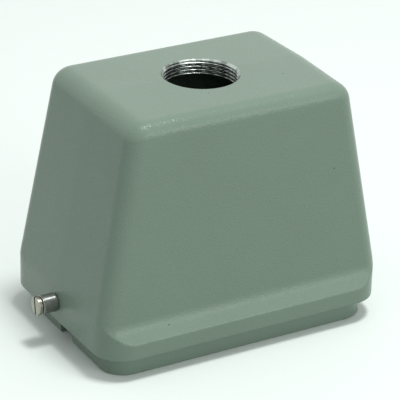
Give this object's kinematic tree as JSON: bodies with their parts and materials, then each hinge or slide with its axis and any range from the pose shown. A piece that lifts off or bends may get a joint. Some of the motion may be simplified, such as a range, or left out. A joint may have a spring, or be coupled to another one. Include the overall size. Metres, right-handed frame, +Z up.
{
  "type": "heavy duty rectangular connector hood",
  "caption": "Tapered die-cast hood of a rectangular power connector, with a threaded cable entry on top, an open plug collar below and a roller peg on each end for a locking lever.",
  "frame": {"origin": "middle of the hood on the plane of the collar rim that it stands on", "axes": "+X along the hood's length, +Z up, out of the cable entry"},
  "size_m": [0.1508, 0.09, 0.107],
  "materials": {
    "coated_casting": "grey-green powder coat, fine orange peel, semi-gloss",
    "peg_steel": "nickel-plated, turned",
    "roller_steel": "bright turned steel"
  },
  "bodies": {
    "hood": {"hood_shell": "coated_casting", "left_peg_pin": "peg_steel", "right_peg_pin": "peg_steel"},
    "left_roller": {"left_peg_roller": "roller_steel"},
    "right_roller": {"right_peg_roller": "roller_steel"}
  },
  "joints": [
    {"name": "left_roller_spin", "type": "hinge", "parent": "hood", "child": "left_roller", "pos_m": [-0.06975, 0, 0.0182], "axis": [1, 0, 0], "continuous": true},
    {"name": "right_roller_spin", "type": "hinge", "parent": "hood", "child": "right_roller", "pos_m": [0.06975, 0, 0.0182], "axis": [1, 0, 0], "continuous": true}
  ]
}
